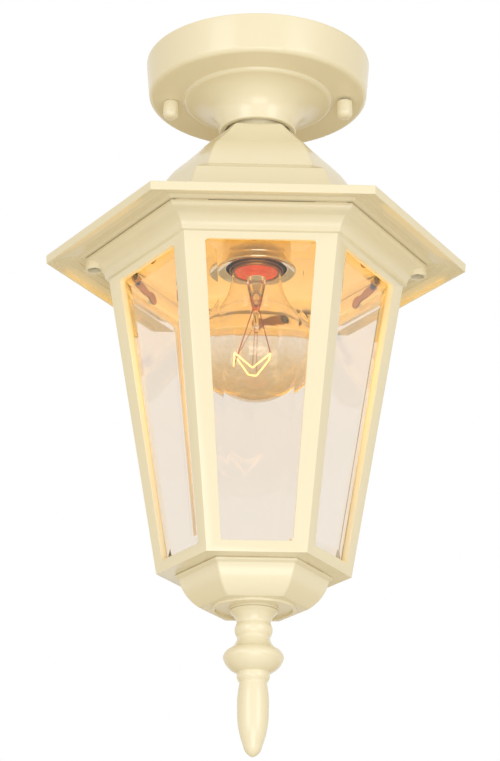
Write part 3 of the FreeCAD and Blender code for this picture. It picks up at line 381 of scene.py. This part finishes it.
def metal(name, colour, worn, rough, grain, edge=0.0003):
    """Metal with a cloudy tarnish, a fine grain and edges rounded off by a radius in metres."""
    plate = Finish(name)
    cloud = plate.noise(140.0, 4.0, 0.6)
    fine = plate.noise(500.0, 3.0, 0.6)
    tone = plate.blend(cloud, colour, worn)
    normal = plate.relief(fine, 0.00003, grain, plate.eased(edge) if edge else None)
    return plate.done(plate.shader(Base_Color=tone, Metallic=1.0, Roughness=rough + 0.18 * cloud * fine,
                                   Normal=normal))


def moulded(name, colour, deep, rough, edge=0.0004, coat=0.0):
    """Moulded or glazed ware: a slight cloud in the colour and a soft skin."""
    ware = Finish(name)
    cloud = ware.noise(120.0, 3.0)
    tone = ware.blend(cloud, colour, deep)
    normal = ware.relief(ware.noise(900.0), 0.00003, 0.4, ware.eased(edge))
    return ware.done(ware.shader(Base_Color=tone, Roughness=rough + 0.1 * cloud, Normal=normal,
                                 Coat_Weight=coat))


def glowing(name, colour, light, power):
    """Hot wire: dark metal that gives off light, a little uneven along its length."""
    wire = Finish(name)
    heat = wire.noise(260.0)
    tone = wire.blend(heat, light, tuple(part * 0.8 for part in light))
    return wire.done(wire.shader(Base_Color=colour, Metallic=1.0, Roughness=0.4 + 0.2 * heat,
                                 Emission_Color=tone, Emission_Strength=power))


FINISH = {
    "enamel": enamel("cream_enamel"),
    "clear_glass": pane_glass("plate_glass", (0.93, 0.88, 0.815)),
    "ground_edge": ground_edge("ground_glass_edge"),
    "bulb_glass": lamp_glass("blown_glass"),
    "stem_glass": pane_glass("stem_glass", (1.0, 0.93, 0.80)),
    "cement": cement("neck_cement"),
    # near black for the screws: partly their own dark steel, partly painted shade beside the clips
    "dark_screw": metal("near_black_steel_and_shade", (0.05, 0.045, 0.04), (0.025, 0.02, 0.02), 0.35, 0.3),
    "copper_wire": metal("copper_wire", (0.62, 0.17, 0.05), (0.42, 0.10, 0.03), 0.3, 0.2, edge=0.0),
    "zinc_steel": metal("zinc_plate", (0.62, 0.62, 0.60), (0.48, 0.48, 0.47), 0.3, 0.35),
    "polished_metal": metal("polished_shell", (0.92, 0.84, 0.68), (0.84, 0.74, 0.56), 0.05, 0.08,
                            edge=0.0),
    "brass": metal("plain_brass", (0.60, 0.34, 0.10), (0.42, 0.20, 0.05), 0.26, 0.3, edge=0.0002),
    "porcelain": moulded("glazed_porcelain", (0.86, 0.85, 0.80), (0.80, 0.78, 0.72), 0.18, coat=0.5),
    "tungsten": metal("drawn_wire", (0.42, 0.34, 0.26), (0.30, 0.22, 0.16), 0.35, 0.2, edge=0.0),
    "filament": glowing("hot_filament", (0.4, 0.3, 0.2), (1.0, 0.66, 0.24), 5.0),
    "black_insulator": moulded("fused_insulator", (0.03, 0.03, 0.035), (0.05, 0.05, 0.055), 0.12),
    "white_plastic": moulded("terminal_moulding", (0.80, 0.80, 0.76), (0.74, 0.74, 0.70), 0.4),
    "lead_brown": moulded("brown_sleeve", (0.20, 0.09, 0.045), (0.16, 0.07, 0.035), 0.45, edge=0.0),
    "lead_blue": moulded("blue_sleeve", (0.06, 0.14, 0.42), (0.05, 0.11, 0.36), 0.45, edge=0.0),
}


# ---------------------------------------------------------------- pieces

WELD, CAD_WELD = 1e-7, 2e-6    # metres within which corners are one
SAME_FLAT = math.radians(0.6)
SHARP = math.radians(25)


def rework(mesh, *changes):
    """Runs changes, each a function of a bmesh, on a mesh."""
    shape = bmesh.new()
    shape.from_mesh(mesh)
    for change in changes:
        change(shape)
    shape.to_mesh(mesh)
    shape.free()


def shade_smooth(mesh):
    """Marks every face of a mesh as smooth."""
    mesh.polygons.foreach_set("use_smooth", np.ones(len(mesh.polygons), bool))


def put(mesh, body, finishes, replaced):
    """Puts a mesh at the origin as a piece that rides on a body and stands for some nodes."""
    mesh.materials.clear()
    for finish in finishes:
        mesh.materials.append(FINISH[finish])
    made = bpy.data.objects.new(mesh.name, mesh)
    bpy.context.scene.collection.objects.link(made)
    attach(made, body)
    if replaced:
        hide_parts(*replaced)
    return made


def piece(name, body, slot, finish, replaced, *surfaces):
    """Joins surfaces into one smooth piece in metres."""
    corners, faces, start = [], [], 0
    for places, quads in surfaces:
        corners.append(places)
        faces.append(quads + start)
        start += len(places)
    mesh = bpy.data.meshes.new(name)
    mesh.from_pydata((np.concatenate(corners) * MM).tolist(), [], np.concatenate(faces).tolist())
    rework(mesh, lambda shape: bmesh.ops.remove_doubles(shape, verts=shape.verts, dist=WELD))
    shade_smooth(mesh)
    return put(mesh, body, [finish], replaced)


# A side of the cage leans in by FACE_RUN over its drop.  FACE_TOP is its flat distance at the top,
# at the height FACE_TOP_Z.  A pane's places are measured from there, down the slope and inwards.
FACE_TOP, FACE_TOP_Z = 70.5, -134.4
FACE_RUN, FACE_DROP = 25.6, 168.1
FACE_LEAN = math.atan(FACE_RUN / FACE_DROP)
PANE_TOP, PANE_LOW = -1.4, 3.5 - FACE_DROP / math.cos(FACE_LEAN)
PANE_TOP_HALF, PANE_LOW_HALF = 31.8, 21.1
PANE_DEPTH = 5.76        # of the inner face
PANE_EDGE = 1.8          # width of the ground rim
PANE_BEVEL = 8.0         # width of the bevel
PANE_CREST = 1.0         # rise of the bevel


def bevelled_pane(side, turn):
    """One pane in a side's own axes: x across, y up the slope and depth inwards.  Its rings are the
    inner face's outline, the outer end of its ground rim and the crest of the bevel; on a side,
    (x, y, depth) lies at flat distance top + y sin(lean) - depth cos(lean) and at height
    top + y cos(lean) + depth sin(lean), turned 60 degrees for each side."""
    taper = (PANE_TOP_HALF - PANE_LOW_HALF) / (PANE_TOP - PANE_LOW)
    inset = PANE_BEVEL * math.hypot(1, taper)

    def ring(inward, shift, depth):
        top, low = PANE_TOP - inward, PANE_LOW + inward
        top_half = PANE_TOP_HALF - taper * inward - shift
        low_half = PANE_LOW_HALF + taper * inward - shift
        return [(-low_half, low, depth), (low_half, low, depth),
                (top_half, top, depth), (-top_half, top, depth)]

    rings = np.array(ring(0, 0, PANE_DEPTH) + ring(0, 0, PANE_DEPTH - PANE_EDGE)
                     + ring(PANE_BEVEL, inset, PANE_DEPTH - PANE_EDGE - PANE_CREST))
    across, up, depth = rings.T
    flat = FACE_TOP + up * math.sin(FACE_LEAN) - depth * math.cos(FACE_LEAN)
    height = FACE_TOP_Z + up * math.cos(FACE_LEAN) + depth * math.sin(FACE_LEAN)
    plan = (across + 1j * flat) * np.exp(1j * math.radians(60 * turn))
    corners = np.stack([plan.real, plan.imag, height], axis=-1) * MM
    walls = [(low + near, low + far, low + 4 + far, low + 4 + near)
             for low in (0, 4) for near, far in ((0, 1), (1, 2), (2, 3), (3, 0))]
    mesh = bpy.data.meshes.new("pane_" + side)
    mesh.from_pydata(corners.tolist(), [], [(3, 2, 1, 0), (8, 9, 10, 11)] + walls)
    rework(mesh, lambda shape: bmesh.ops.recalc_face_normals(shape, faces=shape.faces))
    put(mesh, "cage", ["clear_glass", "ground_edge"], ["glass_" + side])
    clear, ground = 0, 1
    in_order = [clear, clear] + [ground] * 4 + [clear] * 4
    mesh.polygons.foreach_set("material_index", np.array(in_order, np.int32))


def eased_copy(name, node, body, finish, width):
    """A copy of a node's solid with its flat faces joined up and every edge rounded off."""
    mesh = NODES[node].data.copy()
    mesh.name = name
    rework(mesh, lambda shape: bmesh.ops.remove_doubles(shape, verts=shape.verts, dist=CAD_WELD),
           lambda shape: bmesh.ops.dissolve_limit(
               shape, angle_limit=SAME_FLAT, verts=shape.verts, edges=shape.edges))
    shade_smooth(mesh)
    made = put(mesh, body, [finish], [node])
    easing = made.modifiers.new("easing", "BEVEL")
    easing.width = width * MM
    easing.segments = 3
    easing.limit_method = "ANGLE"
    easing.angle_limit = SHARP
    easing.harden_normals = True


# ---------------------------------------------------------------- castings

CANOPY = [(63.5, 0), (61.9, -18.8), (58.7, -22, -0.414), (42.2, -22), (40.2, -24, -0.35),
          (21.7, -41.9, 0.414), (21.1, -42.5, -0.414), (19.6, -42.5), (18.4, -41.3, -0.414),
          (18.4, -38), (5.25, -38), (5.25, -35.5), (19.238, -35.5), (40.2, -20.4, -0.3227),
          (58.7, -20.4), (59.9, -17.8), (61.5, 0)]

COLLAR = [(5.25, -38), (16.6, -38), (16.6, -45.7), (5.25, -45.7)]

ROOF = [(0, -44.3), (15.5, -44.3), (23.7, -48.7, -0.2), (40.4, -66.9, 0.035), (48.8, -84.6, -0.1),
        (60.0, -91.6), (67.6, -111.5), (73.0, -115.8, 0.25), (101.1, -120.2), (100.8, -125.0),
        (99.2, -125.0), (98.8, -122.5), (93.1, -122.3), (92.7, -121.5), (89.3, -121.3),
        (88.9, -120.6), (85.2, -120.0), (83.3, -121.3, -0.25), (69.5, -121.3), (69.5, -118.4),
        (64.8, -113.3, -0.25), (57.2, -93.5), (46.0, -86.5), (37.2, -68.2, 0.1),
        (21.9, -52.5, -0.035), (15.5, -47.1, 0.2), (0, -47.1)]

PAN = [(35.7, -302.5), (35.8, -304.4, -0.8), (34.6, -305.1), (25.0, -320.4, -0.2), (0, -320.4),
       (0, -318.0), (23.6, -318.0), (32.5, -305.1, 0.2), (32.5, -302.5)]
PAN_RING = [(22.6, -319.9), (22.6, -321.7), (20.6, -321.7), (20.6, -319.9)]
PAN_SEAT = [(13.3, -319.9), (13.3, -321.7), (3.3, -321.7), (3.3, -319.9)]

FINIAL_TOP = -321.75
FINIAL_DRAWN, FINIAL_LENGTH = 77.7, 78.1    # its length in the outline below, and as it hangs
FINIAL = [(3.06, 0), (12.9, 0), (12.9, 0.8), (8.8, 7.1, 0.2), (9.2, 7.5), (9.1, 13.6, -0.3),
          (8.6, 14.6, 0.2), (12.2, 20.6, 0.2), (16.1, 25.4, -0.3), (8.3, 33.4, -0.26),
          (8.0, 37.4, -0.3), (7.2, 38.6), (8.3, 53.4, -0.07), (5.0, 71.8, -0.1), (0, 77.7, -0.3),
          (0, 15.42), (3.06, 13.93)]
FINIAL = [(point[0], FINIAL_TOP - point[1] / FINIAL_DRAWN * FINIAL_LENGTH, *point[2:])
          for point in FINIAL]

CAP_NUT_LENGTH = 10.6
CAP_NUTS = {"left": (-49.3, 3.8, -22.05), "right": (49.3, -3.8, -23.1)}    # x, y and top


def cap_nut(top):
    """A domed nut that hangs from its top, bored from above."""
    low = top - CAP_NUT_LENGTH
    return [(2.06, top), (3.75, top), (4.35, top - 0.6, -0.414), (4.35, low + 3.2),
            (2.95, low + 0.7, -0.2), (0, low, -0.15), (0, low + 2.2), (2.06, low + 3.0)]


# ---------------------------------------------------------------- lampholder and lamp

HOLDER_CAP = [(5.01, -58), (8, -58), (8, -65), (19, -74, -0.3), (19, -92), (18, -92), (18, -74),
              (7, -66, 0.3), (5.01, -66)]
MOUTH = -127.6           # height of the holder's rim
HOLDER_SKIRT = [(17.9, -92.2), (19, -92.2), (19, MOUTH + 12), (22, MOUTH + 0.8, 0.15),
                (21.2, MOUTH, -0.414), (17.5, MOUTH + 0.9, 0.1), (16.7, MOUTH + 1.7, -0.414),
                (16.7, MOUTH + 6), (17.5, MOUTH + 6), (17.5, MOUTH + 2.4),
                (20.4, MOUTH + 1.9, -0.1), (17.9, MOUTH + 12, -0.15)]
SHELL = [(6.5, -101), (13.95, -101), (13.95, -118.1), (14.9, -119, -0.1), (14.9, MOUTH + 0.2),
         (14.4, MOUTH + 0.2), (14.4, -119), (13.45, -118.1, 0.1), (13.45, -101.5), (6.5, -101.5)]

NECK = -129.0            # height of the lamp's neck
CENTRE, GLOBE = -173.0, 30.0    # height of the globe's centre, and its radius


def pear(shrink):
    """The lamp's outer line, drawn in by a distance: neck, shoulder, then the globe as one arc.
    The shoulder meets the globe 0.62 of its radius above its centre, where the globe is
    sqrt(1 - 0.62 * 0.62) = 0.7846 of its radius from the axis."""
    radius = GLOBE - shrink
    return [(13.4 - shrink, NECK), (14.0 - shrink, NECK - 4),
            (radius * 0.7846, CENTRE + radius * 0.62, 0.16), (0, CENTRE - radius, -0.6273)]


def bulb_wall(wall):
    """The outer line down and the inner line back up, which is the section of the glass."""
    outer, inner = pear(0), pear(wall)
    back = [inner[3][:2], (*inner[2][:2], -inner[3][2]), (*inner[1][:2], -inner[2][2]), inner[0][:2]]
    return outer + back


CAP_HEIGHT = 25
THREAD_LOW, THREAD_PITCH, THREAD_TURNS = 7.5, 3.6, 4


def bulb_cap():
    """The lamp's screw cap as a hollow shell: a plain skirt, then one rounded rib for each turn."""
    top = NECK + CAP_HEIGHT
    points = [(12.4, NECK + 0.1), (13.75, NECK + 0.1), (13.75, NECK + 6), (12.7, NECK + THREAD_LOW)]
    for turn in range(THREAD_TURNS):
        low = NECK + THREAD_LOW + THREAD_PITCH * turn
        points += [(12.7, low + 0.6), (12.7, low + 3.0, 0.28)]
    return points + [(12.7, top - 1.6), (9.1, top), (8.7, top - 0.4), (12.2, top - 2),
                     (12.2, NECK + 6.5), (12.9, NECK + 5)]


STEM = [(0, NECK - 3), (5.2, NECK - 3), (4.2, NECK - 12, -0.05), (2.6, NECK - 19), (1.5, NECK - 22),
        (1.5, NECK - 31), (2.1, NECK - 33, -0.3), (0, NECK - 35, -0.3)]

LEVEL = -181.0           # height about which the hot wire zigzags
CROWN = [(-12.0, 0, LEVEL - 3.0), (-11.7, -2, LEVEL + 4.4), (-2.0, -6.5, LEVEL - 6.0),
         (8.0, -2, LEVEL + 4.4), (7.2, 2, LEVEL + 1.7), (0.6, 6, LEVEL - 6.0),
         (-3.8, 6, LEVEL - 5.5), (-10.6, 2.5, LEVEL + 3.2)]
FOOT = NECK - 21.0       # height where the wires leave the stem
LEADS = [[(1.9, 0, NECK - 16), (1.6, 0, FOOT), CROWN[3]],
         [(-1.9, 0, NECK - 16), (-1.8, 0, FOOT), CROWN[0]]]
HOOKS = [[(-0.6, -1.2, FOOT - 10), CROWN[2]], [(0.8, 1.2, FOOT - 10), CROWN[5]],
         [(-1.2, 0.4, FOOT - 10), CROWN[7]]]
NECK_DISH = [(0, NECK + 5.2), (5.0, NECK + 4.6), (12.1, NECK + 1.4), (12.1, NECK + 0.4),
             (9.0, NECK + 1.0), (4.6, NECK - 1.2), (0, NECK - 1.6)]


COIL_STEP = 0.05


def coil(corners, width, pitch):
    """A coiled wire: the path plus width * (cos u * side + sin u * over), u growing by one turn
    for each pitch of length."""
    path = rounded_path(corners, 1.2, COIL_STEP)
    along = np.arange(len(path)) * COIL_STEP
    side, over = square_to(path, ACROSS_COIL)
    turn = (2 * np.pi * along / pitch)[:, None]
    return path + width * (np.cos(turn) * side + np.sin(turn) * over)


# ---------------------------------------------------------------- the dressed lantern

piece("canopy_bell", "hanger", "enamel", "enamel", ["canopy"],
      lathe(CANOPY, soften=0.8, around=160))
piece("roof_casting", "hanger", "enamel", "enamel", ["roof"],
      six_sided(ROOF), lathe(COLLAR, soften=0.8, around=96))
piece("pan_casting", "cage", "enamel", "enamel", ["bottom_pan"],
      six_sided(PAN, corner=1.4), lathe(PAN_RING, soften=0.6, around=96),
      lathe(PAN_SEAT, soften=0.6, around=96))
piece("finial_drop", "finial", "enamel", "enamel", ["finial"], lathe(FINIAL, soften=0.8, around=96))
for side, (right, back, top) in CAP_NUTS.items():
    piece("cap_nut_dome_" + side, "cap_nut_" + side + "_body", "enamel", "enamel", ["cap_nut_" + side],
          lathe(cap_nut(top), soften=0.5, around=48, at=(right, back)))
piece("holder_dome", "hanger", "polished_metal", "polished_metal", ["holder_cap"],
      lathe(HOLDER_CAP, soften=0.4, around=96))
piece("holder_cup", "hanger", "polished_metal", "polished_metal", ["holder_skirt"],
      lathe(HOLDER_SKIRT, soften=0.3, around=128, bend=3))
piece("holder_shell", "hanger", "brass", "brass", ["screw_shell"], lathe(SHELL, soften=0.2, around=96))
piece("bulb_pear", "bulb", "bulb_glass", "bulb_glass", ["bulb_glass"],
      lathe(bulb_wall(wall=0.8), soften=0.2, around=128, bend=3, longest=1.5))
piece("bulb_screw_cap", "bulb", "brass", "brass", ["bulb_cap"],
      lathe(bulb_cap(), soften=0.2, around=96))
piece("bulb_glass_stem", "bulb", "bulb_glass", "stem_glass", ["bulb_stem"],
      lathe(STEM, soften=0.3, around=48))
piece("bulb_neck_cement", "bulb", "brass", "cement", [], lathe(NECK_DISH, soften=0.4, around=96))
hot = piece("bulb_coil", "bulb", "tungsten", "filament", ["bulb_filament"],
            tube(coil(CROWN, width=0.28, pitch=0.42), radius=0.14, sides=6))
hot.visible_glossy = False    # its mirror images in the glass would outshine the wire
piece("bulb_wires", "bulb", "tungsten", "copper_wire", ["bulb_support_wires"],
      *[tube(rounded_path(path, bend=1.5), radius=0.3) for path in LEADS],
      *[tube(rounded_path(path, bend=0.6), radius=0.17) for path in HOOKS])
eased_copy("cage_casting", "cage", "cage", "enamel", width=0.6)
for turn, side in enumerate(SIDES):
    bevelled_pane(side, turn)

# The imported solids that stay in sight wear the finish of their slot, and the screws are near black:
# dark steel, and beside the clips also painted shade.
OTHER_FINISH = {"roof_screws": "dark_screw", "clip_screws": "dark_screw"}
for row in frame["record"]["subparts"]:
    solid = NODES[row["node"]].data
    solid.materials.clear()
    solid.materials.append(FINISH[OTHER_FINISH.get(row["node"], row["material_slot"])])


# ---------------------------------------------------------------- room, lamps and camera

FLOOR_HALF, FLOOR_Z = 4.0, -1.5
WHITE = (1.0, 1.0, 1.0, 1.0)
WARM_FILL, FILL_STRENGTH = (1.0, 0.82, 0.45, 1.0), 0.58
COOL, PALE_COOL = (0.82, 0.92, 1.0), (0.88, 0.94, 1.0)
AIM = (0, 0, -0.2)       # the middle of the lantern
GLOW_POWER, GLOW_COLOUR, GLOW_RADIUS = 0.27, (1.0, 0.52, 0.03), 0.008


def room():
    """The pale floor far below, and a world that is white wherever it is seen or mirrored."""
    corners = [(x * FLOOR_HALF, y * FLOOR_HALF, FLOOR_Z)
               for x, y in ((-1, -1), (1, -1), (1, 1), (-1, 1))]
    mesh = bpy.data.meshes.new("floor")
    mesh.from_pydata(corners, [], [(0, 1, 2, 3)])
    floor = bpy.data.objects.new("floor", mesh)
    bpy.context.scene.collection.objects.link(floor)
    pale = Finish("pale_floor")
    shade = pale.blend(pale.noise(3.0), (0.83, 0.82, 0.80), (0.87, 0.86, 0.84))
    floor.data.materials.append(pale.done(pale.shader(Base_Color=shade, Roughness=0.7)))

    world = bpy.data.worlds.new("studio")
    world.use_nodes = True
    bpy.context.scene.world = world
    nodes, links = world.node_tree.nodes, world.node_tree.links
    nodes.clear()
    output = nodes.new("ShaderNodeOutputWorld")
    seen, soft = nodes.new("ShaderNodeBackground"), nodes.new("ShaderNodeBackground")
    seen.inputs["Color"].default_value = WHITE
    soft.inputs["Color"].default_value = WARM_FILL
    soft.inputs["Strength"].default_value = FILL_STRENGTH
    mix = nodes.new("ShaderNodeMixShader")
    path = nodes.new("ShaderNodeLightPath")
    looked_at = path.outputs["Is Camera Ray"]
    for kind in ("Is Glossy Ray", "Is Transmission Ray"):
        either = nodes.new("ShaderNodeMath")
        either.operation = "MAXIMUM"
        links.new(looked_at, either.inputs[0])
        links.new(path.outputs[kind], either.inputs[1])
        looked_at = either.outputs[0]
    links.new(looked_at, mix.inputs[0])
    links.new(soft.outputs[0], mix.inputs[1])
    links.new(seen.outputs[0], mix.inputs[2])
    links.new(mix.outputs[0], output.inputs[0])


def softbox(name, place, width, height, power, colour):
    """A rectangular lamp that is aimed at the lantern and isn't seen by the camera."""
    lamp = bpy.data.lights.new(name, "AREA")
    lamp.shape = "RECTANGLE"
    lamp.size, lamp.size_y = width, height
    lamp.energy, lamp.color = power, colour
    made = bpy.data.objects.new(name, lamp)
    made.location = place
    made.rotation_euler = (Vector(AIM) - Vector(place)).to_track_quat("-Z", "Y").to_euler()
    made.visible_camera = False
    bpy.context.scene.collection.objects.link(made)


def lamps():
    """Two softboxes in front, a low one, and the light of the lantern's own hot wire."""
    softbox("left_softbox", (-1.35, -1.75, 0.0), width=1.0, height=1.5, power=13.5, colour=COOL)
    softbox("right_softbox", (1.45, -1.75, 0.0), width=1.1, height=1.5, power=14.5, colour=COOL)
    softbox("low_softbox", (0.1, -1.9, -1.15), width=1.4, height=0.7, power=10.5, colour=PALE_COOL)
    glow = bpy.data.lights.new("bulb_light", "POINT")
    glow.energy, glow.color, glow.shadow_soft_size = GLOW_POWER, GLOW_COLOUR, GLOW_RADIUS
    made = bpy.data.objects.new("bulb_light", glow)
    made.location = (0, 0, LEVEL * MM)
    made.visible_camera = made.visible_glossy = made.visible_transmission = False
    bpy.context.scene.collection.objects.link(made)


CAMERA_PLACE = (-0.0407, -1.3040, -0.6824)
HEADING, PITCH, ROLL = (math.radians(angle) for angle in (-1.7865, 20.6117, 0.4448))


def camera():
    """Below the lantern and a little to its left, looking up at it."""
    eye = bpy.data.cameras.new("camera")
    eye.lens, eye.sensor_width, eye.shift_x = 120.87, 36.0, -0.0072
    made = bpy.data.objects.new("camera", eye)
    turn = (Matrix.Rotation(HEADING, 4, "Z") @ Matrix.Rotation(math.pi / 2 + PITCH, 4, "X")
            @ Matrix.Rotation(ROLL, 4, "Z"))
    made.matrix_world = Matrix.Translation(CAMERA_PLACE) @ turn
    bpy.context.scene.collection.objects.link(made)
    bpy.context.scene.camera = made


room()
lamps()
camera()
bpy.context.scene.view_settings.view_transform = "Standard"
